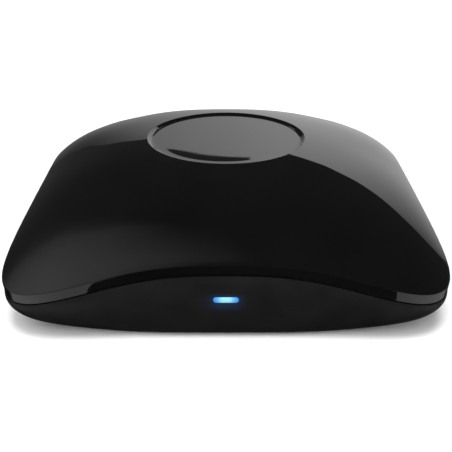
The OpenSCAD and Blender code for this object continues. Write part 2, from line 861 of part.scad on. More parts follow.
top_shell();
lower_shell();
light_pipe();
status_led();
main_board();
for (i = [0 : EMITTERS - 1])
    ir_emitter(i);
ir_emitter_top();
emitter_leads();
ir_receiver();
receiver_leads();
wifi_board();
wifi_shield();
usb_shell();
usb_tongue();
usb_contacts();
reset_button();
switch_body();
switch_plunger();
for (k = [0 : len(capacitor_places) - 1])
    capacitor(capacitor_places[k]);
capacitor_seats();
power_inductor();
voltage_regulator();
control_chip();
crystal();
driver_transistors();
chip_resistors();
case_screws();
board_screws();
for (k = [0 : CORNERS - 1])
    rotate([0, 0, EIGHTH + QUARTER * k]) translate([foot_dist, 0, 0]) foot();
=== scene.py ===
# %% [markdown]
# # A smart infrared hub in gloss and satin black
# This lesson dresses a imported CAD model. The CAD part says where every piece is and how the
# reset button moves. Here each surface that shows gets a smooth form and a finish. The frame
# comes first, because everything below is measured from it. Lengths are written in
# millimetres, as on a drawing, and MM turns them into Blender's metres.

import bmesh
import bpy
import numpy as np
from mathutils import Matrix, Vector


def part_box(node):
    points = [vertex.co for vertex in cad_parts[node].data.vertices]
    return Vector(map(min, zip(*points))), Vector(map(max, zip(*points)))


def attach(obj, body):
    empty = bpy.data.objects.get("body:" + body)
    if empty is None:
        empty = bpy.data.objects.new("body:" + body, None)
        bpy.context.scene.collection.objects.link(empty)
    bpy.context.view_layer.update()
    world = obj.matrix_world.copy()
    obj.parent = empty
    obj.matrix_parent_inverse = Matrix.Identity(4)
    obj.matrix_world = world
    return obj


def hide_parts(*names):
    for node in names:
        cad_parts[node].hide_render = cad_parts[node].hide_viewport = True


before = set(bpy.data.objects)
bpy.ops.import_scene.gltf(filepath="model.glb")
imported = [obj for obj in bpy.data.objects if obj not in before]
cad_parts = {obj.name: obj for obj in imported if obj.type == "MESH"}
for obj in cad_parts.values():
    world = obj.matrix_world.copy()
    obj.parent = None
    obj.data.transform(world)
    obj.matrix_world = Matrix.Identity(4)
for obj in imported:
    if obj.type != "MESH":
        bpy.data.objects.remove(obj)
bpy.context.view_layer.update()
MM = 0.001

# %% [markdown]
# ## The form of the housing
# Seen from above the hub is a square with soft corners, a "squircle". Its rim isn't level:
# it stands high at the middle of each side and drops towards the corners. A box with
# bevelled edges can't do that, so the outline is a formula of the angle, and every section
# through the middle is a curve. The CAD source uses the same formula, so both agree. A pair
# of values is for the middle of a side and for a corner, and the form blends between them.

# %% Sizes of the housing
# A power says how square an outline is, and a pull how far the handles of a curve reach
BODY_W, FOOT_PROUD = 120, 0.8
CROWN_Z = FOOT_PROUD + 36.7
RIM_Z = (FOOT_PROUD + 20.4, FOOT_PROUD + 12.4)
BAND_H, BAND_INSET, SEAM_GAP = 2.9, 0.4, 0.3
BASE_TUCK, BASE_ROUND, WALL = 3.6, 2, 2
TONGUE_H, TONGUE_T, FIT_GAP = 1.5, 0.8, 0.1
DISH_R, DISH_DEPTH, LIP_RING = 23.3, 0.6, 0.8
RIM_POWER, BASE_POWER, WAIST = 6.8, 3.8, 0.927
DIAGONAL_POWER, BLEND_POWER, WAIST_POWER = 2.8, 2.7, 2.6
CROWN_PULL, SHOULDER_PULL, SHOULDER_SLOPE = (0.54, 0.44), (0.25, 0.32), (48.6, 40)
SIDE_PULL, SIDE_LEAN = 0.43, (36, 12.5)

AROUND = 320  # points round the outline, gathered a little towards the corners
GATHER = np.radians(7)
steps = 2 * np.pi * np.arange(AROUND) / AROUND
ANGLES = steps + GATHER * np.sin(4 * steps)
print("angles round the outline:", AROUND)


# %% Outline seen from above
def cornering(angle, power):
    """0 at the middle of a side, 1 at a corner."""
    c, s = np.abs(np.cos(angle)), np.abs(np.sin(angle))
    return 1 - (1 - (np.minimum(c, s) / np.maximum(c, s)) ** DIAGONAL_POWER) ** power


def blend(pair, angle):
    """Between the value at the middle of a side and the value at a corner."""
    return pair[0] + (pair[1] - pair[0]) * cornering(angle, BLEND_POWER)


def squircle(angle, power):
    return (np.abs(np.cos(angle)) ** power + np.abs(np.sin(angle)) ** power) ** (-1 / power)


def rim_form(angle):
    return squircle(angle, RIM_POWER) * (WAIST + (1 - WAIST) * cornering(angle, WAIST_POWER))


rim_widest = max(rim_form(ANGLES) * np.cos(ANGLES))


def rim_r(angle):
    return BODY_W / 2 * rim_form(angle) / rim_widest


def base_r(angle):
    return (BODY_W / 2 - BASE_TUCK) * squircle(angle, BASE_POWER)


print("rim reach in mm:", rim_r(0).round(2), "at a side,", rim_r(np.pi / 4).round(2), "at a corner")


# %% Sections through the middle
def on_curve(handles, share):
    """Point on a cubic curve; every handle is (reach, height)."""
    weights = ((1 - share) ** 3, 3 * (1 - share) ** 2 * share,
               3 * (1 - share) * share ** 2, share ** 3)
    return np.array([sum(w * handle[axis] for w, handle in zip(weights, handles))
                     for axis in (0, 1)])


def dome_handles(angle):
    r, z = rim_r(angle), blend(RIM_Z, angle)
    crown, shoulder = blend(CROWN_PULL, angle) * r, blend(SHOULDER_PULL, angle) * r
    slope = np.radians(blend(SHOULDER_SLOPE, angle))
    return [(0 * r, CROWN_Z + 0 * r), (crown, CROWN_Z + 0 * r),
            (r - shoulder * np.cos(slope), z + shoulder * np.sin(slope)), (r, z)]


def side_handles(angle):
    foot, r = base_r(angle), rim_r(angle) - BAND_INSET
    z = blend(RIM_Z, angle) - BAND_H - SEAM_GAP
    run, rise = SIDE_PULL * np.maximum(r - foot, BASE_ROUND), SIDE_PULL * (z - FOOT_PROUD)
    lean = np.radians(blend(SIDE_LEAN, angle))
    return [(foot, FOOT_PROUD + 0 * r), (foot + run, FOOT_PROUD + 0 * r),
            (r + rise * np.sin(lean), z - rise * np.cos(lean)), (r, z)]


def side_reach(height):
    """Reach of the side wall, in the middle of a side, at a height above the ground."""
    curve = on_curve(side_handles(np.float64(0)), np.linspace(0, 1, 200))
    return float(np.interp(height, curve[1], curve[0]))


middle_section = on_curve(dome_handles(np.float64(0)), np.linspace(0, 1, 400))
LIP_Z = float(np.interp(DISH_R + LIP_RING, middle_section[0], middle_section[1]))
print("dish lip at", round(LIP_Z, 2), "mm, wall reach at the slot", round(side_reach(12.05), 2))

# %% [markdown]
# ## From sections to a skin
# A lofted skin is a grid: one ring of points for each place on the section, joined to the
# next ring by four-sided faces. It could be drawn by hand with subdivision, but a formula
# gives rings exactly where the light needs them: close together at an edge, far apart on a
# calm surface. `skin` builds every such piece here, open or closed by a pole or a flat end.


# %% Mesh helpers
def skin(name, rings, start="flat", end="flat", sharp=35):
    """Faces between equal rings of points (in mm); an end is flat, a pole or open."""
    rings = np.asarray(rings, float)
    count, around = rings.shape[:2]
    points = [tuple(p) for p in rings.reshape(-1, 3) * MM]
    faces = [(k * around + i, k * around + (i + 1) % around,
              (k + 1) * around + (i + 1) % around, (k + 1) * around + i)
             for k in range(count - 1) for i in range(around)]
    for row, kind, turn in ((0, start, -1), (count - 1, end, 1)):
        ring = [row * around + i for i in range(around)][::turn]
        if kind == "flat":
            faces.append(tuple(ring))
        if kind == "pole":
            points.append(tuple(rings[row].mean(0) * MM))
            faces += [(ring[i], ring[(i + 1) % around], len(points) - 1) for i in range(around)]
    mesh = bpy.data.meshes.new(name)
    mesh.from_pydata(points, [], faces)
    mesh.validate()
    piece = bpy.data.objects.new(name, mesh)
    bpy.context.scene.collection.objects.link(piece)
    smooth(piece, sharp)
    return piece


def smooth(piece, sharp):
    """Shades smooth, but keeps edges that turn by more than a number of degrees."""
    piece.data.shade_smooth()
    piece.data.set_sharp_from_angle(angle=np.radians(sharp))


def face_outwards(piece, bridge=False):
    """Turns all faces outwards; a bridge first closes the gap between two open edges."""
    work = bmesh.new()
    work.from_mesh(piece.data)
    if bridge:
        bmesh.ops.bridge_loops(work, edges=[e for e in work.edges if e.is_boundary])
    bmesh.ops.recalc_face_normals(work, faces=work.faces)
    work.to_mesh(piece.data)
    work.free()


def count_faces(piece):
    print(piece.name, "has", len(piece.data.polygons), "faces")


# %% Ring helpers
def level_ring(r, z):
    """A ring round the housing from a reach and a height for each of the angles."""
    return np.stack([r * np.cos(ANGLES), r * np.sin(ANGLES), z + 0 * ANGLES], -1)


def turned(profile, around=64):
    """Rings of a turned piece from (radius, height) points."""
    turn = 2 * np.pi * np.arange(around) / around
    return [np.stack([r * np.cos(turn), r * np.sin(turn), z + 0 * turn], -1)
            for r, z in profile]


def toward(here, there, distance):
    """Points that lie a short way from one ring to another."""
    way = there - here
    return here + way / np.linalg.norm(way, axis=-1, keepdims=True) * distance


def rounded(before, corner, after, count=5):
    """Points of a small rounding that replaces a corner."""
    t = np.linspace(0, 1, count)
    before, corner, after = (np.asarray(p, float)[None] for p in (before, corner, after))
    t = t.reshape((-1,) + (1,) * (before.ndim - 1))
    return list((1 - t) ** 2 * before + 2 * (1 - t) * t * corner + t ** 2 * after)


corner_points = rounded((0, 1), (0, 0), (1, 0))
print("a rounding of a square corner:", [point.round(2).tolist() for point in corner_points])

# %% [markdown]
# ## Camera
# The photograph looks down at the front by 25 degrees from close by, so the near rim looks
# wider than the far one. A long lens from far away would lose that. The distance and the
# lens were found by laying the outline formula over the photograph.

# %% Camera
TILT, DISTANCE, TARGET_Z, LENS, SENSOR = np.radians(24.9), 270, 5.6, 66.62, 36

camera = bpy.data.objects.new("camera", bpy.data.cameras.new("camera"))
bpy.context.scene.collection.objects.link(camera)
camera.location = Vector((0, -DISTANCE * np.cos(TILT), TARGET_Z + DISTANCE * np.sin(TILT))) * MM
camera.rotation_euler = (np.pi / 2 - TILT, 0, 0)
camera.data.lens, camera.data.sensor_width = LENS, SENSOR
camera.data.clip_start, camera.data.clip_end = 0.01, 20
bpy.context.scene.camera = camera
bpy.context.scene.view_settings.view_transform = "Standard"
print("camera", round(camera.location.length, 3), "m from the origin")

# %% [markdown]
# ## Node helpers
# A finish is a small tree of nodes. It could be clicked together in the shader editor, but
# written as functions the same tree serves every finish. Three kinds of noise do most of
# the work on this object: a coarse one that shifts the colour a little, a middle one that
# makes the gloss uneven, and a fine one that is the grain of the mould. What is the same all
# over a surface is set straight on the shader.


# %% Node helpers
def add_node(tree, kind, inputs=None, **settings):
    node = tree.nodes.new(kind)
    for key, value in settings.items():
        setattr(node, key, value)
    for key, value in (inputs or {}).items():
        if isinstance(value, bpy.types.NodeSocket):
            tree.links.new(value, node.inputs[key])
        else:
            node.inputs[key].default_value = value
    return node


def calc(tree, operation, *values):
    return add_node(tree, "ShaderNodeMath", dict(enumerate(values)), operation=operation).outputs[0]


def ramp(tree, value, low, high, to_low=0.0, to_high=1.0, kind="SMOOTHSTEP"):
    """Takes a value from one range to another, with soft ends."""
    node = add_node(tree, "ShaderNodeMapRange", interpolation_type=kind, inputs={
        "Value": value, "From Min": low, "From Max": high, "To Min": to_low, "To Max": to_high})
    return node.outputs["Result"]


def noise(tree, size, detail=3.0, stretch=(1, 1, 1)):
    """Noise whose blotches are about a number of millimetres wide."""
    place = add_node(tree, "ShaderNodeTexCoord").outputs["Object"]
    if stretch != (1, 1, 1):
        place = add_node(tree, "ShaderNodeMapping", inputs={
            "Vector": place, "Scale": stretch}).outputs["Vector"]
    return add_node(tree, "ShaderNodeTexNoise", inputs={
        "Vector": place, "Scale": 1 / (size * MM), "Detail": detail}).outputs["Fac"]


def new_material(name):
    """A material with its tree and its shader."""
    material = bpy.data.materials.new(name)
    material.use_nodes = True
    return material, material.node_tree, material.node_tree.nodes["Principled BSDF"]


FINISHES = {}


def finish(name, dark, light, rough, grain, bump=0.1, blotch=6, metallic=0.0, stretch=(1, 1, 1),
           **sockets):
    """A finish: two near colours, a range of roughness and a grain (sizes in mm)."""
    material, tree, shader = new_material(name)
    shade = add_node(tree, "ShaderNodeMix", data_type="RGBA", inputs={
        "Factor": ramp(tree, noise(tree, blotch), 0.3, 0.7)})
    for socket in shade.inputs:
        if socket.identifier in ("A_Color", "B_Color"):
            socket.default_value = (*(dark if socket.identifier == "A_Color" else light), 1)
    colour = next(s for s in shade.outputs if s.type == "RGBA")
    tree.links.new(colour, shader.inputs["Base Color"])
    tree.links.new(ramp(tree, noise(tree, blotch * 0.6, 4, stretch), 0.3, 0.7, *rough),
                   shader.inputs["Roughness"])
    relief = add_node(tree, "ShaderNodeBump", inputs={
        "Height": noise(tree, grain, 2, stretch), "Strength": bump, "Distance": grain * MM * 0.2})
    tree.links.new(relief.outputs["Normal"], shader.inputs["Normal"])
    shader.inputs["Metallic"].default_value = metallic
    for key, value in sockets.items():
        shader.inputs[key.replace("_", " ")].default_value = value
    FINISHES[name] = material


print("a blotch of 6 mm is a noise scale of", round(1 / (6 * MM)))

# %% [markdown]
# ## Shell finishes
# The top is polished black, so deep that almost only its mirror image shows: a nearly black
# base, very low roughness and a faint waviness from the mould. The lower shell and the
# button are satin: the same black, broken up by a fine spark-eroded grain. The feet are
# duller and rougher, as rubber is. A single grey would look like paint, so colour and gloss
# both drift a little.

# %% Shell finishes
finish("gloss_black", (0.002,) * 3, (0.003, 0.003, 0.0032), (0.01, 0.02), grain=9, bump=0.001,
       blotch=25)
finish("satin_black", (0.0066,) * 3, (0.009, 0.009, 0.0095), (0.42, 0.5), grain=0.18, bump=0.22,
       Specular_IOR_Level=0.12)
finish("button_black", (0.011,) * 3, (0.015, 0.015, 0.016), (0.34, 0.44), grain=0.12, bump=0.2)
finish("foot_rubber", (0.016,) * 3, (0.026, 0.026, 0.027), (0.62, 0.8), grain=0.35, bump=0.5)
print("shell finishes:", sorted(FINISHES))

# %% [markdown]
# ## Finishes inside the case
# The pieces on the board only show when someone takes the hub apart, but each has the
# finish that it would have on a bench: a green board with a weave under the lacquer, tinned
# and brushed metals, moulded epoxy and rolled cans. Brushing and rolling are noise that is
# stretched along one axis. Pictures of such surfaces would work too, but noise stays sharp
# at any distance and needs no file.

# %% Finishes of boards and plastics
finish("board_green", (0.012, 0.085, 0.038), (0.02, 0.12, 0.055), (0.25, 0.4), grain=0.5, bump=0.25,
       blotch=1.2)
finish("module_board", (0.012, 0.016, 0.026), (0.02, 0.026, 0.04), (0.3, 0.42), grain=0.5, bump=0.2)
finish("dark_epoxy", (0.03, 0.014, 0.04), (0.05, 0.026, 0.066), (0.08, 0.16), grain=0.6, bump=0.04,
       blotch=2, Transmission_Weight=0.25, IOR=1.5)
finish("chip_black", (0.018,) * 3, (0.03, 0.03, 0.031), (0.45, 0.6), grain=0.1, bump=0.35, blotch=2)
finish("ferrite", (0.045, 0.045, 0.047), (0.075, 0.075, 0.078), (0.5, 0.68), grain=0.2, bump=0.4,
       blotch=1.5)
finish("led_white", (0.6, 0.62, 0.6), (0.78, 0.79, 0.76), (0.35, 0.5), grain=0.2, bump=0.15,
       blotch=0.8)
finish("resistor_ends", (0.02,) * 3, (0.035, 0.035, 0.036), (0.3, 0.5), grain=0.15, bump=0.2,
       blotch=0.8)
finish("plunger_black", (0.02,) * 3, (0.028, 0.028, 0.03), (0.3, 0.45), grain=0.1, bump=0.2)
print("with boards and plastics:", len(FINISHES))

# %% Finishes of metals
finish("tinned_wire", (0.62, 0.62, 0.6), (0.78, 0.78, 0.76), (0.22, 0.38), grain=0.2, bump=0.12,
       blotch=1, metallic=1.0)
finish("shield_can", (0.58, 0.58, 0.56), (0.72, 0.72, 0.7), (0.24, 0.36), grain=0.15, bump=0.15,
       blotch=3, metallic=1.0, stretch=(1, 12, 1))
finish("socket_steel", (0.5, 0.51, 0.53), (0.66, 0.67, 0.69), (0.2, 0.34), grain=0.12, bump=0.15,
       blotch=1.2, metallic=1.0, stretch=(1, 0.12, 1))
finish("capacitor_can", (0.6, 0.61, 0.62), (0.76, 0.77, 0.78), (0.2, 0.3), grain=0.15, bump=0.1,
       blotch=2, metallic=1.0, stretch=(1, 1, 8))
finish("screw_steel", (0.4, 0.41, 0.43), (0.56, 0.57, 0.59), (0.26, 0.4), grain=0.12, bump=0.2,
       blotch=1, metallic=1.0)
finish("contact_gold", (0.7, 0.48, 0.16), (0.85, 0.62, 0.26), (0.18, 0.3), grain=0.1, bump=0.1,
       blotch=0.5, metallic=1.0)
print("finishes in all:", len(FINISHES))

# %% [markdown]
# ## The gloss top
# One moulding makes the dish, the dome and the upright band under the wavy rim. The dish is
# a flat round floor that curls up at its edge, with a sloping wall and a crisp lip. In a
# mirror finish each of these catches other light, so they are real geometry and not a bump.
# A boolean could cut the dish, but it would leave ragged normals, which a mirror shows at
# once. The skin runs from the middle of the dish outwards, round the rim, and back along
# the inside.

# %% Section of the dish
CALM_RADII = (5, 10, 14, 17, 19)
# Radius in millimetres and slope in degrees, where the floor begins to climb
FLOOR_SLOPES = [(20.4, 0), (20.9, 0.25), (21.4, 0.6), (21.9, 0.9), (22.2, 1.1), (22.4, 3),
                (22.6, 5.5), (22.8, 8), (23, 11), (23.12, 24)]


def dome_height(handles, reach):
    """Height of the dome at a reach, for each angle."""
    curve = on_curve(handles, np.linspace(0, 1, 400)[:, None])
    return np.array([np.interp(reach, curve[0][:, i], curve[1][:, i]) for i in range(AROUND)])


def dish_rings(handles):
    """Rings from the floor's middle up the wall to the lip."""
    crest = level_ring(DISH_R + LIP_RING, dome_height(handles, DISH_R + LIP_RING))
    radii, slopes = np.array(FLOOR_SLOPES).T
    climb = np.tan(np.radians((slopes[1:] + slopes[:-1]) / 2)) * np.diff(radii)
    heights = LIP_Z - DISH_DEPTH + np.concatenate([[0], np.cumsum(climb)])
    rings = [level_ring(r, LIP_Z - DISH_DEPTH) for r in CALM_RADII]
    rings += [level_ring(r, z) for r, z in zip(radii, heights)]
    foot, edge = rings[-1], 0.05
    beyond = crest + toward(0 * crest, crest - foot, edge) * [1, 1, 0]
    return rings + [toward(crest, foot, 0.3)] + rounded(toward(crest, foot, edge), crest, beyond)


DISH_RINGS = len(dish_rings(dome_handles(ANGLES)))
print("rings in the dish:", DISH_RINGS)

# %% [markdown]
# The dome is blended between a section for the sides and one for the corners. That leaves
# ripples of a few hundredths of a millimetre round the dish. No eye would see them on a
# satin part, but a mirror draws them as rays. So near the dish each ring keeps only its
# mean height and one even wave, and the correction fades out towards the rim.


# %% Calm dome round the dish
CALM_UP_TO, UNTOUCHED_FROM = 28, 46


def calmed(handles):
    """Height to add near the dish, by reach and angle, so that no ripple is left."""
    reaches = np.arange(20.0, 48.0)
    table = np.array([dome_height(handles, reach) for reach in reaches])
    waves = np.stack([1 + 0 * ANGLES, np.cos(4 * ANGLES)])
    even = (table @ np.linalg.pinv(waves)) @ waves
    fade = np.clip((UNTOUCHED_FROM - reaches) / (UNTOUCHED_FROM - CALM_UP_TO), 0, 1)
    return reaches, (even - table) * (fade ** 2 * (3 - 2 * fade))[:, None]


def dome_rings(handles):
    """Rings from beside the lip down to the rim, close together near the dish."""
    shares, rings = np.linspace(0, 1, 400), []
    reach_table = on_curve(handles, shares[:, None])[0]
    for beside in (0.13, 0.28, 0.6):
        reach = DISH_R + LIP_RING + beside
        start = np.array([np.interp(reach, reach_table[:, i], shares) for i in range(AROUND)])
        rings.append(level_ring(*on_curve(handles, start)))
    rings += [level_ring(*on_curve(handles, start + (1 - start) * share))
              for share in np.linspace(0, 1, 72)[1:-1]]
    return rings


print("largest ripple taken out:", round(np.abs(calmed(dome_handles(ANGLES))[1]).max(), 3), "mm")


# %% Skin of the gloss top
def top_rings():
    handles = dome_handles(ANGLES)
    rings = dish_rings(handles) + dome_rings(handles)
    reaches, lift = calmed(handles)
    for ring in rings[DISH_RINGS - 7:]:
        reach = np.hypot(ring[:, 0], ring[:, 1])
        ring[:, 2] += [np.interp(r, reaches, lift[:, i]) for i, r in enumerate(reach)]
    rim, band_foot = level_ring(*handles[3]), blend(RIM_Z, ANGLES) - BAND_H
    band = level_ring(rim_r(ANGLES) - BAND_INSET, band_foot)
    inner = level_ring(rim_r(ANGLES) - WALL, band_foot)
    edge, lower_edge, hold = 0.16, 0.12, 0.05
    rings += rounded(toward(rim, rings[-1], edge), rim, toward(rim, band, edge), 7)
    rings += [toward(rim, band, edge + hold), toward(band, rim, lower_edge + hold)]
    rings += rounded(toward(band, rim, lower_edge), band, toward(band, inner, lower_edge), 5)
    rings += [toward(band, inner, lower_edge + hold), inner]
    ceiling = LIP_Z - DISH_DEPTH - WALL  # the hidden inside, from the rim back to the middle
    for share in np.linspace(1, 0.36, 12):
        reach, height = on_curve(handles, share)
        rings.append(level_ring(np.minimum(reach - WALL * 0.55, rim_r(ANGLES) - WALL),
                                np.minimum(height - WALL * 1.1, ceiling)))
    return rings


gloss_top = skin("gloss_top", top_rings(), start="pole", end="pole", sharp=40)
face_outwards(gloss_top)
gloss_top.data.materials.append(FINISHES["gloss_black"])
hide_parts("top_shell")
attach(gloss_top, "housing")
count_faces(gloss_top)

# %% [markdown]
# ## The satin lower shell
# The tub is drawn in under the corners, and its upper edge follows the wavy band with a
# small gap, which reads as a dark seam line. A tongue behind the seam locates the top. It
# could be a box with a lattice bent over it, but the section curve already says how the
# wall bellies, so the tub is lofted in the same way as the top.


# %% Skin of the lower shell
def lower_rings():
    handles = side_handles(ANGLES)
    r, z = handles[3]
    tongue = rim_r(ANGLES) - WALL - FIT_GAP
    top, shelf, edge, hold = level_ring(r, z), level_ring(tongue, z), 0.12, 0.04
    rings = [level_ring(base_r(ANGLES) * share, FOOT_PROUD + 0 * r)
             for share in (0.3, 0.6, 0.85, 0.96)]
    rings += [level_ring(*on_curve(handles, share))
              for share in 1 - (1 - np.linspace(0, 1, 46)[:-1]) ** 1.1]
    rings += rounded(toward(top, rings[-1], edge), top, toward(top, shelf, edge), 4)
    rings += [toward(top, shelf, edge + hold), shelf, level_ring(tongue, z + TONGUE_H),
              level_ring(tongue - TONGUE_T, z + TONGUE_H),
              level_ring(tongue - TONGUE_T, z - TONGUE_T / 2)]
    for share in np.linspace(0.93, 0.02, 14):  # the inside, from the tongue down
        reach, height = on_curve(handles, share)
        rings.append(level_ring(np.minimum(reach - WALL * 0.9, tongue - TONGUE_T),
                                np.maximum(height, FOOT_PROUD + WALL)))
    rings.append(level_ring(base_r(ANGLES) * 0.5, FOOT_PROUD + WALL + 0 * r))
    return rings


lower = skin("satin_lower", lower_rings(), start="pole", end="pole", sharp=40)
face_outwards(lower)
count_faces(lower)

# %% [markdown]
# ## Openings of the lower shell
# The tub carries the light slot in front, the power window and the button hole behind, a
# shallow recess below and the pockets of the feet. They could be modelled into the rings,
# but that would bend the grid round every hole. Booleans are simpler and exact. Each cutter
# flares at the surface, so its edge comes out with the small chamfer that a mould gives, and
# catches light. The socket, the button and the feet are where their CAD nodes are.


# %% Outlines of the cutters
def stadium(width, height, corner=8):
    """Points (x, z) of a slot shape with round ends."""
    turn = np.concatenate([np.linspace(-np.pi / 2, np.pi / 2, corner),
                           np.linspace(np.pi / 2, 3 * np.pi / 2, corner)])
    shift = np.where(np.arange(2 * corner) < corner, 1, -1) * (width - height) / 2
    return np.stack([np.cos(turn) * height / 2 + shift, np.sin(turn) * height / 2], -1)


def rounded_box(width, height, radius, corner=6):
    """Points (x, z) of a rectangle with round corners."""
    turn = np.linspace(0, np.pi / 2, corner)
    quarter = np.stack([np.cos(turn), np.sin(turn)], -1) * radius
    points = []
    for k, (sx, sz) in enumerate(((1, 1), (-1, 1), (-1, -1), (1, -1))):
        c, s = np.cos(k * np.pi / 2), np.sin(k * np.pi / 2)
        points.append(quarter @ np.array([[c, s], [-s, c]])
                      + [sx * (width / 2 - radius), sz * (height / 2 - radius)])
    return np.concatenate(points)


def disc(radius, count=48):
    """Points (x, z) of a circle."""
    turn = 2 * np.pi * np.arange(count) / count
    return np.stack([np.cos(turn), np.sin(turn)], -1) * radius


def along_y(outline, stations, x=0.0, z=0.0):
    """Rings of an outline (x, z) at stations of (y, growth)."""
    size = np.abs(outline).max(0)
    rings = []
    for y, growth in stations:
        grown = outline * (1 + growth / size)
        rings.append(np.stack([grown[:, 0] + x, 0 * grown[:, 0] + y, grown[:, 1] + z], -1))
    return rings


def along_z(outline, stations, x=0.0, y=0.0):
    """Rings of an outline (x, y) at stations of (z, growth)."""
    rings = along_y(outline, stations)
    return [np.stack([r[:, 0] + x, r[:, 2] + y, r[:, 1]], -1) for r in rings]


print("points in a slot shape:", len(stadium(4, 2)), "and in a box:", len(rounded_box(4, 2, 0.5)))

# %% Places of the openings
SLOT_W, SLOT_T, SLOT_Z = 6.7, 1.6, FOOT_PROUD + 11.25
socket_low, socket_high = (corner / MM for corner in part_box("usb_shell"))
SOCKET_Z = (socket_low.z + socket_high.z) / 2
button_low, button_high = (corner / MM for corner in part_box("reset_button"))
BUTTON_X, BUTTON_Z = (button_low.x + button_high.x) / 2, (button_low.z + button_high.z) / 2
BUTTON_R, BUTTON_FACE = 1.4, button_high.y
FOOT_PLACES = [(sum(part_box(f"foot_{k}"), Vector()) / 2 / MM).to_2d() for k in range(1, 5)]
FOOT_R, FOOT_RECESS = 5.5, 1.2
slot_face, socket_wall, button_wall = side_reach(SLOT_Z), side_reach(SOCKET_Z), side_reach(BUTTON_Z)
print("socket mouth", round(socket_high.y, 2), "button face", round(BUTTON_FACE, 2))

# %% Cutters
# A station is a place along the cutter, and how much wider the outline is there
WINDOW_W, WINDOW_H, WINDOW_R = 8.5, 3.5, 0.9
RECESS_W, RECESS_L, RECESS_R, RECESS_T = 46, 26, 2, 0.3
cutters = [
    skin("slot_cutter", along_y(stadium(SLOT_W, SLOT_T), (
        (-slot_face - 2, 2.0), (-slot_face - 0.3, 0.3), (-slot_face + 0.2, 0.0),
        (-slot_face + WALL + 1.4, 0.0)), z=SLOT_Z)),
    skin("window_cutter", along_y(rounded_box(WINDOW_W, WINDOW_H, WINDOW_R), (
        (socket_wall - WALL - 1.2, 0.0), (socket_wall - 0.25, 0.0), (socket_wall + 0.2, 0.45),
        (socket_wall + 2, 2.0)), z=SOCKET_Z)),
    skin("button_cutter", along_y(disc(BUTTON_R + FIT_GAP), (
        (button_wall - WALL - 1.4, 0.0), (button_wall - 0.25, 0.0), (button_wall + 0.2, 0.4),
        (button_wall + 2, 2.0)), x=BUTTON_X, z=BUTTON_Z)),
    skin("recess_cutter", along_z(rounded_box(RECESS_W, RECESS_L, RECESS_R), (
        (FOOT_PROUD - 1, 0.4), (FOOT_PROUD, 0.15), (FOOT_PROUD + 0.15, 0.0),
        (FOOT_PROUD + RECESS_T, 0.0)))),
]
for k, place in enumerate(FOOT_PLACES):
    cutters.append(skin(f"pocket_cutter_{k + 1}", along_z(disc(FOOT_R + FIT_GAP), (
        (FOOT_PROUD - 1, 1.0), (FOOT_PROUD - 0.01, 0.15), (FOOT_PROUD + 0.15, 0.0),
        (FOOT_PROUD + FOOT_RECESS, 0.0)), *place)))
print("cutters:", len(cutters))


# %% Cut the openings
def cut(piece, tools):
    """Takes the cutters out of a piece and leaves a plain mesh."""
    for tool in tools:
        face_outwards(tool)
        change = piece.modifiers.new(tool.name, "BOOLEAN")
        change.operation, change.solver, change.object = "DIFFERENCE", "EXACT", tool
    graph = bpy.context.evaluated_depsgraph_get()
    mesh = bpy.data.meshes.new_from_object(piece.evaluated_get(graph))
    piece.modifiers.clear()
    piece.data = mesh
    for tool in tools:
        bpy.data.objects.remove(tool)


cut(lower, cutters)
smooth(lower, 32)
lower.data.materials.append(FINISHES["satin_black"])
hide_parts("lower_shell")
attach(lower, "housing")
count_faces(lower)

# %% [markdown]
# The lit slot spills a little blue on the satin round it, most of it below. A lamp behind
# the window could do this, but would need many samples to come out clean. A very weak
# emission that depends on the place on the shell gives the same look from every side.


# %% Light spilt round the slot
def spill(material, middle_z, strength=0.045):
    """A faint blue glow at the slot that reaches further below it than above (in mm)."""
    tree = material.node_tree
    place = add_node(tree, "ShaderNodeSeparateXYZ", inputs={
        "Vector": add_node(tree, "ShaderNodeTexCoord").outputs["Object"]})
    glow = ramp(tree, calc(tree, "ABSOLUTE", place.outputs["X"]), 1.2 * MM, 6.2 * MM, 1, 0)
    for axis, low, high in (("Y", 0, -50), ("Z", middle_z - 4.2, middle_z - 0.3),
                            ("Z", middle_z + 2.2, middle_z + 0.5)):
        glow = calc(tree, "MULTIPLY", glow, ramp(tree, place.outputs[axis], low * MM, high * MM))
    shader = tree.nodes["Principled BSDF"]
    shader.inputs["Emission Color"].default_value = (0.06, 0.4, 1.0, 1)
    tree.links.new(calc(tree, "MULTIPLY", glow, strength), shader.inputs["Emission Strength"])


spill(FINISHES["satin_black"], SLOT_Z)
print("nodes in the satin:", len(FINISHES["satin_black"].node_tree.nodes))

# %% [markdown]
# ## The lit window
# A clear bar of plastic fills the slot and carries the light of a small diode. Its front
# follows the sloping wall, and a flange behind the wall keeps it from falling out. A plane
# set in the slot would look alike from the front, but not from the side. The bar is one
# skin of slot-shaped rings, and its front rings are sheared by the slope of the wall.

# %% Lit window bar
WINDOW_GAP, FLANGE_T, FLANGE_OUT, BAR_SHARE = 0.1, 0.8, 0.9, 0.56
flange_y = -slot_face + WALL + 0.25
slot_outline = stadium(SLOT_W - 2 * WINDOW_GAP, SLOT_T - 2 * WINDOW_GAP, 14)
wall_slope = side_reach(SLOT_Z + 0.5) - side_reach(SLOT_Z - 0.5)

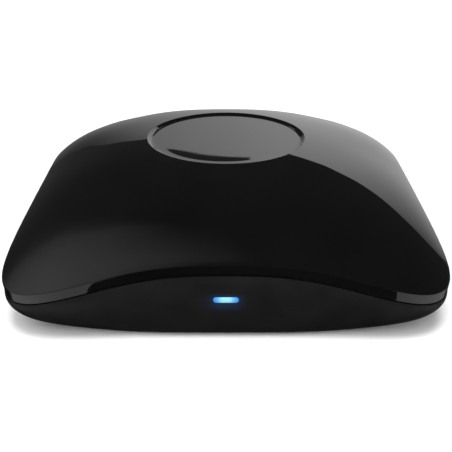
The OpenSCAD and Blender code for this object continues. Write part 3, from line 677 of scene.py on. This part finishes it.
window_rings = along_y(slot_outline * 0.4, ((-slot_face - 0.14, 0.0),), z=SLOT_Z)
window_rings += along_y(slot_outline, (
    (-slot_face - 0.11, -0.28), (-slot_face - 0.06, -0.1), (-slot_face + 0.08, 0.0)), z=SLOT_Z)
for ring in window_rings:
    ring[:, 1] -= wall_slope * (ring[:, 2] - SLOT_Z)
window_rings += along_y(slot_outline, (
    (flange_y - 0.02, 0.0), (flange_y, FLANGE_OUT), (flange_y + FLANGE_T, FLANGE_OUT)), z=SLOT_Z)
pipe_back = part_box("light_pipe")[1].y / MM
bar_rings = along_y(slot_outline, ((flange_y + FLANGE_T, -0.1), (pipe_back, -0.1)), z=SLOT_Z)
for ring in bar_rings:
    ring[:, 0] *= BAR_SHARE
light_window = skin("light_window", window_rings + bar_rings, start="pole")
face_outwards(light_window)
print("window front at", round(min(r[:, 1].min() for r in window_rings), 2), "mm")

# %% [markdown]
# The window glows palest in the middle, where the diode sits, and deeper blue at its ends.
# A light behind clear plastic would be truer, but noisy in a render. The glow is written as
# emission that depends on the place along the slot, a little weaker towards its lower edge
# and slightly cloudy, so it looks the same from everywhere.

# %% Glow of the window
FINISHES["lit_window"], tree, shader = new_material("lit_window")
place = add_node(tree, "ShaderNodeSeparateXYZ", inputs={
    "Vector": add_node(tree, "ShaderNodeTexCoord").outputs["Object"]})
across = calc(tree, "ABSOLUTE", place.outputs["X"])
glow = add_node(tree, "ShaderNodeValToRGB", inputs={"Fac": ramp(tree, across, 0.6 * MM, 3.3 * MM)})
glow.color_ramp.elements[0].color = (0.36, 0.86, 1.0, 1)
glow.color_ramp.elements[1].color = (0.04, 0.24, 0.85, 1)
glow.color_ramp.elements.new(0.5).color = (0.14, 0.5, 0.97, 1)
tree.links.new(glow.outputs["Color"], shader.inputs["Emission Color"])
from_top = ramp(tree, place.outputs["Z"], (SLOT_Z + 0.5) * MM, (SLOT_Z - 0.9) * MM, 1.0, 0.62)
cloudy = ramp(tree, noise(tree, 0.5), 0.3, 0.7, 0.95, 1.08)
tree.links.new(calc(tree, "MULTIPLY", from_top, cloudy), shader.inputs["Emission Strength"])
tree.links.new(ramp(tree, noise(tree, 0.4), 0.3, 0.7, 0.16, 0.28), shader.inputs["Roughness"])
shader.inputs["Base Color"].default_value = (0.02, 0.05, 0.08, 1)
shader.inputs["Transmission Weight"].default_value = 0.3
light_window.data.materials.append(FINISHES["lit_window"])
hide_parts("light_pipe")
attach(light_window, "housing")
count_faces(light_window)

# %% [markdown]
# ## Power socket
# The socket's shell is folded from thin sheet. It is wide above and narrower below, its
# bends are round, and its lips flare towards the plug. A solidify modifier on a bent strip
# would do, but then the flare would have no control of its own. Here an outer and an inner
# outline run along the depth, and the two open ends at the back are bridged.

# %% Socket shell
SOCKET_HALF, SOCKET_TOP, SOCKET_SLANT, SHEET_T, BEND_R = 3.75, 1.25, 1.1, 0.25, 0.4


def socket_outline(inset):
    """Points of the socket's section, moved inwards by a distance."""
    w, low, high = SOCKET_HALF - inset, -SOCKET_TOP + inset, SOCKET_TOP - inset
    knee = low + 0.9 * SOCKET_TOP
    corners = np.array([(-w, high), (-w, knee), (-w + SOCKET_SLANT, low), (w - SOCKET_SLANT, low),
                        (w, knee), (w, high)])
    radius, points = BEND_R - 0.5 * inset, []
    for i, corner in enumerate(corners):
        legs = [corner + (other - corner) * radius / np.linalg.norm(other - corner)
                for other in (corners[i - 1], corners[(i + 1) % 6])]
        points += rounded(legs[0], corner, legs[1], 5)
    return np.array(points)


back, mouth = socket_low.y, socket_high.y
socket_rings = along_y(socket_outline(0), (
    (back, 0), (mouth - 0.7, 0), (mouth - 0.3, 0.07), (mouth, 0.26)), z=SOCKET_Z)
socket_rings += along_y(socket_outline(SHEET_T), (
    (mouth, 0.3), (mouth - 0.3, 0.09), (mouth - 0.7, 0), (back, 0)), z=SOCKET_Z)
socket_shell = skin("socket_shell", socket_rings, start="open", end="open")
face_outwards(socket_shell, bridge=True)
smooth(socket_shell, 35)
socket_shell.data.materials.append(FINISHES["socket_steel"])
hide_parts("usb_shell")
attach(socket_shell, "housing")
count_faces(socket_shell)

# %% [markdown]
# ## Button cap
# The reset button is a small round cap with a shallow hollow for a fingertip. A flange
# inside the wall holds it, and a stem reaches the switch. A bevelled cylinder has no
# hollow, so the cap is turned from a section like a part on a lathe. It rides on its own
# body, because it moves.

# %% Button cap
CAP_FLANGE_R, CAP_FLANGE_T, STEM_R, STEM_LEN = 2.0, 0.8, 1.0, 1.6
stem_back = button_low.y
flange_back = stem_back + STEM_LEN
flange_front = flange_back + CAP_FLANGE_T
cap_section = [(0.45, BUTTON_FACE - 0.09), (0.9, BUTTON_FACE - 0.04)]
cap_section += rounded((1.15, BUTTON_FACE), (BUTTON_R, BUTTON_FACE),
                       (BUTTON_R, BUTTON_FACE - 0.25), 6)
cap_section += [(BUTTON_R, flange_front), (CAP_FLANGE_R, flange_front),
                (CAP_FLANGE_R, flange_back), (STEM_R, flange_back), (STEM_R, stem_back)]
cap_rings = [np.stack([r[:, 0] + BUTTON_X, r[:, 2], r[:, 1] + BUTTON_Z], -1)
             for r in turned(cap_section, 48)]
button_cap = skin("button_cap", cap_rings, start="pole")
face_outwards(button_cap)
button_cap.data.materials.append(FINISHES["button_black"])
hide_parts("reset_button")
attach(button_cap, "button")
count_faces(button_cap)

# %% [markdown]
# ## Feet
# Four soft rubber discs keep the hub from sliding and hide the screws. Each has a rounded
# edge and one fine groove in its tread. A bevel modifier could round the edge, but the
# groove needs a section anyway, so both are turned at once, four times from one section.

# %% Feet
foot_section = [(1.5, 0.0), (3.0, 0.0)]
foot_section += rounded((3.9, 0.0), (4.05, 0.0), (4.1, 0.1), 4)
foot_section += rounded((4.3, 0.1), (4.35, 0.0), (4.5, 0.0), 4)
foot_section += rounded((4.9, 0.0), (FOOT_R, 0.0), (FOOT_R, 0.6), 8)
foot_section += rounded((FOOT_R, 1.9), (FOOT_R, 2.0), (FOOT_R - 0.1, 2.0), 3)
for k, place in enumerate(FOOT_PLACES):
    rings = [ring + [*place, 0] for ring in turned(foot_section, 64)]
    pad = skin(f"foot_pad_{k + 1}", rings, start="pole")
    face_outwards(pad)
    pad.data.materials.append(FINISHES["foot_rubber"])
    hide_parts(f"foot_{k + 1}")
    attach(pad, "housing")
    count_faces(pad)

# %% [markdown]
# ## Finishes for the pieces that stay as CAD made them
# Board, emitters, radio module, screws and the rest have the right shape already. They could
# be drawn again, but that would add faces and no likeness. Each only gets its finish, named
# by the piece. The nodes that a finer piece replaces get theirs too, so none is left bare.

# %% Finish the CAD pieces
CAD_FINISH = {
    "board_green": ["main_board"],
    "led_white": ["status_led"],
    "dark_epoxy": ["ir_receiver", "ir_emitter_top"] + [f"ir_emitter_{k}" for k in range(1, 9)],
    "tinned_wire": ["emitter_leads", "receiver_leads"],
    "module_board": ["wifi_board"],
    "shield_can": ["wifi_shield", "crystal"],
    "chip_black": ["usb_tongue", "switch_body", "capacitor_seats", "voltage_regulator",
                   "control_chip", "driver_transistors"],
    "contact_gold": ["usb_contacts"],
    "plunger_black": ["switch_plunger"],
    "capacitor_can": ["capacitor_1", "capacitor_2"],
    "ferrite": ["power_inductor"],
    "resistor_ends": ["chip_resistors"],
    "screw_steel": ["case_screws", "board_screws"],
    "gloss_black": ["top_shell"], "satin_black": ["lower_shell"], "lit_window": ["light_pipe"],
    "socket_steel": ["usb_shell"], "button_black": ["reset_button"],
    "foot_rubber": [f"foot_{k}" for k in range(1, 5)],
}
for name, nodes in CAD_FINISH.items():
    for node in nodes:
        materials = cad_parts[node].data.materials
        materials.clear()
        materials.append(FINISHES[name])
print("CAD nodes dressed:", sum(map(len, CAD_FINISH.values())), "of", len(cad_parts))

# %% [markdown]
# ## Floor
# The hub stands on white paper that rises softly at the edge of the room, so every view has
# a pale ground behind it. A plane would show its edge and a horizon. The paper is turned
# from a section: flat, then a wide bend, then a wall. It stays out of mirror rays, because
# the photograph's gloss shows a dark room with a few large panels and no bright floor.


# %% Paper floor
def dull(name, size, dark, light):
    """A matt paper or card: noise between two near greys, and no gloss at all."""
    material, tree, shader = new_material(name)
    tone = ramp(tree, noise(tree, size), 0.0, 1.0, dark, light, kind="LINEAR")
    tree.links.new(tone, shader.inputs["Base Color"])
    shader.inputs["Roughness"].default_value = 1.0
    shader.inputs["Specular IOR Level"].default_value = 0.0
    return material


paper_section = [(250, -0.02), (500, -0.02), (1000, 0), (2000, 0), (2600, 0)]
paper_section += rounded((2800, 0), (3600, 0), (3600, 800), 10) + [(3600, 1200), (3600, 1800)]
paper = skin("paper_floor", turned(paper_section, 96), start="pole", end="open", sharp=80)
paper.data.materials.append(dull("paper_white", 40, 0.985, 1.0))
paper.visible_glossy = paper.visible_shadow = False
print("paper reaches", paper_section[-1][0], "mm")

# %% [markdown]
# ## Card
# In the photograph the edge band mirrors pale paper at the two front corners and something
# dark between them, with a slanted end on the left. A band that leans out mirrors the table
# just in front of it, so that is where a dark card lies. A mask painted on the world could
# not do this, because both ends of the band look the same way as parts of its middle. The
# card shows in the mirror only: no camera, lamp or soft light meets it.

# %% Dark card in front
card_edge = [(-37, -60), (-35.2, -74.5), (-34.3, -77.3), (-33, -78.7), (-31.8, -79.4),
             (-30.4, -80.1), (-29, -81.5), (-28, -84), (-26, -92), (-20, -150),
             (56, -150), (48.5, -85), (47.5, -79), (46.5, -73), (44, -60)]
card_mesh = bpy.data.meshes.new("dark_card")
card_mesh.from_pydata([(x * MM, y * MM, 0.01 * MM) for x, y in reversed(card_edge)], [],
                      [list(range(len(card_edge)))])
card_mesh.materials.append(dull("card_black", 2, 0.009, 0.011))
card = bpy.data.objects.new("dark_card", card_mesh)
bpy.context.scene.collection.objects.link(card)
card.visible_camera = card.visible_diffuse = card.visible_shadow = False
card.visible_transmission = card.visible_volume_scatter = False
print("card corners:", len(card_edge))

# %% [markdown]
# ## Lamps
# Product light is large and soft. Area lamps would do, but their light falls off with
# distance, and each view would differ. Suns with a wide disc give an even level: one
# overhead that throws the short shadow, one as wide as the sky, and one in front that
# lifts the shadow there. Together they give a level at which a colour renders about as it
# is written. They too stay out of mirror rays.


# %% Lamps
def direction(azimuth, elevation):
    """Azimuth 0 is the camera's side and 90 the right."""
    a, e = np.radians(azimuth), np.radians(elevation)
    return Vector((np.sin(a) * np.cos(e), -np.cos(a) * np.cos(e), np.sin(e)))


def soft_sun(name, azimuth, elevation, strength, spread):
    """A sun with a wide disc, in degrees; gives back the level that it adds on the floor."""
    lamp = bpy.data.objects.new(name, bpy.data.lights.new(name, "SUN"))
    lamp.rotation_euler = direction(azimuth, elevation).to_track_quat("Z", "Y").to_euler()
    lamp.data.energy, lamp.data.angle = strength, np.radians(spread)
    lamp.visible_glossy = False
    bpy.context.scene.collection.objects.link(lamp)
    return strength * np.sin(np.radians(elevation))


level = soft_sun("lamp_overhead", 0, 79, 1.75, 22)
level += soft_sun("lamp_sky", 0, 90, 0.85, 150)
level += soft_sun("lamp_front", -10, 48, 0.95, 50)
print("level on the floor:", round(level / np.pi, 2))

# %% [markdown]
# ## The room that the gloss mirrors
# Black gloss has hardly a colour of its own, so its look is the room. Panels as objects
# would work, but painting them on the world by direction puts them infinitely far away, so
# the hub can be looked at from any side. Two angles say where a mirror ray goes: its turn
# round the hub, and its height. The helpers make steps and curves of these angles.

# %% Directions in the room
world = bpy.data.worlds.new("mirror_room")
bpy.context.scene.world = world
world.use_nodes = True
tree = world.node_tree
heading = add_node(tree, "ShaderNodeTexCoord").outputs["Generated"]
axes = add_node(tree, "ShaderNodeSeparateXYZ", inputs={"Vector": heading}).outputs


def times(*values):
    """The product of some node outputs or numbers."""
    product = values[0]
    for value in values[1:]:
        product = calc(tree, "MULTIPLY", product, value)
    return product


def plus(*values):
    """The sum of some node outputs or numbers."""
    total = values[0]
    for value in values[1:]:
        total = calc(tree, "ADD", total, value)
    return total


def dot_with(axis):
    """How far the mirror ray goes along an axis."""
    dot = add_node(tree, "ShaderNodeVectorMath", {0: heading, 1: axis}, operation="DOT_PRODUCT")
    return dot.outputs["Value"]


around = calc(tree, "ARCTAN2", axes["X"], times(axes["Y"], -1.0))
from_back = calc(tree, "ARCTAN2", times(axes["X"], -1.0), axes["Y"])
height = calc(tree, "ARCSINE", axes["Z"])
print("nodes for the directions:", len(tree.nodes))


# %% Steps, curves and panels
def by_angle(value, low, high, to_low=0.0, to_high=1.0, kind="SMOOTHSTEP"):
    """A step on an angle in degrees."""
    return ramp(tree, value, np.radians(low), np.radians(high), to_low, to_high, kind)


def by_curve(value, points):
    """A smooth curve through (degrees, level) points."""
    degrees, levels = np.array(points, float).T
    places = (degrees - degrees[0]) / (degrees[-1] - degrees[0])
    shares = levels / levels.max()
    node = add_node(tree, "ShaderNodeFloatCurve", inputs={
        "Value": by_angle(value, degrees[0], degrees[-1], kind="LINEAR")})
    curve = node.mapping.curves[0]
    for place, share in zip(places[1:-1], shares[1:-1]):
        curve.points.new(place, share)
    curve.points[0].location, curve.points[-1].location = (0, shares[0]), (1, shares[-1])
    node.mapping.update()
    return times(node.outputs["Value"], float(levels.max()))


def near(azimuth, elevation, inner, outer):
    """1 within an angle of a direction, 0 beyond a wider one."""
    return ramp(tree, dot_with(direction(azimuth, elevation)),
                np.cos(np.radians(outer)), np.cos(np.radians(inner)))


def panel(azimuth, elevation, outline, soft=0.3):
    """A panel round a direction, with its radius given by the angle from its top."""
    middle = direction(azimuth, elevation)
    upwards = (Vector((0, 0, 1)) - middle * middle.z).normalized()
    ahead, aside, above = (dot_with(axis) for axis in (middle, middle.cross(upwards), upwards))
    radius = times(by_curve(calc(tree, "ARCTAN2", aside, above), outline), np.radians(1))
    away = calc(tree, "ARCCOSINE", ahead)
    return by_angle(calc(tree, "SUBTRACT", radius, away), -soft / 2, soft / 2)


print("a panel is a radius for every angle round its middle")

# %% [markdown]
# The dome shows a bright round panel behind it to the right, and a second one beside that
# whose upper edge cuts across the first. Their outlines aren't quite circles, so the radius
# is a curve of the angle round the middle. Both get dimmer towards the sides and the ground.

# %% Round panels behind
ROUND_PANEL = [(-180, 22), (-62, 21.8), (-40, 21.3), (-30, 20.5), (-24, 20.05), (-14, 20.05),
               (-7, 20.55), (0, 21.3), (8, 21.7), (30, 21.5), (60, 21.9), (83, 22.2), (180, 22)]
LOW_PANEL = [(-180, 23.2), (-90, 23.4), (-58, 23.8), (-43, 24.4), (-32, 25), (-26, 24.5),
             (-14, 23.25), (-5, 23.2), (180, 23.2)]
PANEL_LEVELS = [(-50, 0.15), (-44, 0.37), (-40, 0.55), (-36, 0.7), (-28, 0.91), (-20, 1),
                (-12, 1), (-6, 0.93), (0, 0.74), (4, 0.6), (8, 0.43), (12, 0.27), (16, 0.14),
                (20, 0.05), (25, 0)]
lit = calc(tree, "MAXIMUM", panel(157.6, 11.2, ROUND_PANEL), panel(178.5, -3, LOW_PANEL, 0.12))
lit = calc(tree, "MAXIMUM", lit, near(160, -4, 23, 25))
discs = times(lit, by_curve(from_back, PANEL_LEVELS),
              by_angle(height, -14, 32, 0.48, 1.3, kind="LINEAR"))
print("nodes with the round panels:", len(tree.nodes))

# %% [markdown]
# At the upper left the dome catches a broad soft panel without an edge, as a big umbrella
# gives. Below the horizon the edge band sees the pale table, in front and at the sides. Each
# is a curve of the turn times a level by height, which is all that a soft light needs.

# %% Soft panel and table
LEFT_LEVELS = [(-142, 0), (-137, 0.02), (-120, 0.4), (-105, 0.68), (-90, 0.86), (-65, 1),
               (-45, 0.92), (-30, 0.77), (-15, 0.53), (0, 0.18), (5, 0.04), (9, 0)]
LEFT_HEIGHTS = [(2, 0), (10, 0.1), (20, 0.43), (27, 0.67), (35, 0.78), (45, 0.84), (50, 0.84),
                (55, 0.77), (60, 0.65), (65, 0.54), (70, 0.38), (75, 0.25), (80, 0.13),
                (85, 0.04), (90, 0)]
TABLE_LEVELS = [(-122, 0), (-112, 0.04), (-104, 0.55), (-92, 0.75), (-74, 0.98), (-46, 1.17),
                (-29, 1.08), (-15, 0.95), (0, 0.85), (26, 1.0), (42, 1.1), (65, 1.04),
                (96, 0.75), (119, 0.48), (136, 0)]
turned_left = plus(around, times(by_angle(height, 56, 61, np.radians(8), 0.0),
                                 by_angle(around, -60, -15)))
left_panel = times(by_curve(turned_left, LEFT_LEVELS), by_curve(height, LEFT_HEIGHTS))
table = times(by_curve(around, TABLE_LEVELS), by_angle(height, -14, -22),
              by_angle(height, -50, -46))
print("nodes with the soft panel and the table:", len(tree.nodes))

# %% Light the room
AMBIENT, AMBIENT_BELOW = 0.05, 0.01
background = tree.nodes["Background"]
level_here = plus(by_angle(height, -30, -10, AMBIENT_BELOW, AMBIENT), discs, left_panel, table)
tree.links.new(level_here, background.inputs["Strength"])
background.inputs["Color"].default_value = (1, 1, 1, 1)
print("nodes in the mirror room:", len(tree.nodes))

# %% [markdown]
# ## Bring the scene up to date
# The last step brings the scene's placements up to date.

# %% Update the scene
bpy.context.view_layer.update()
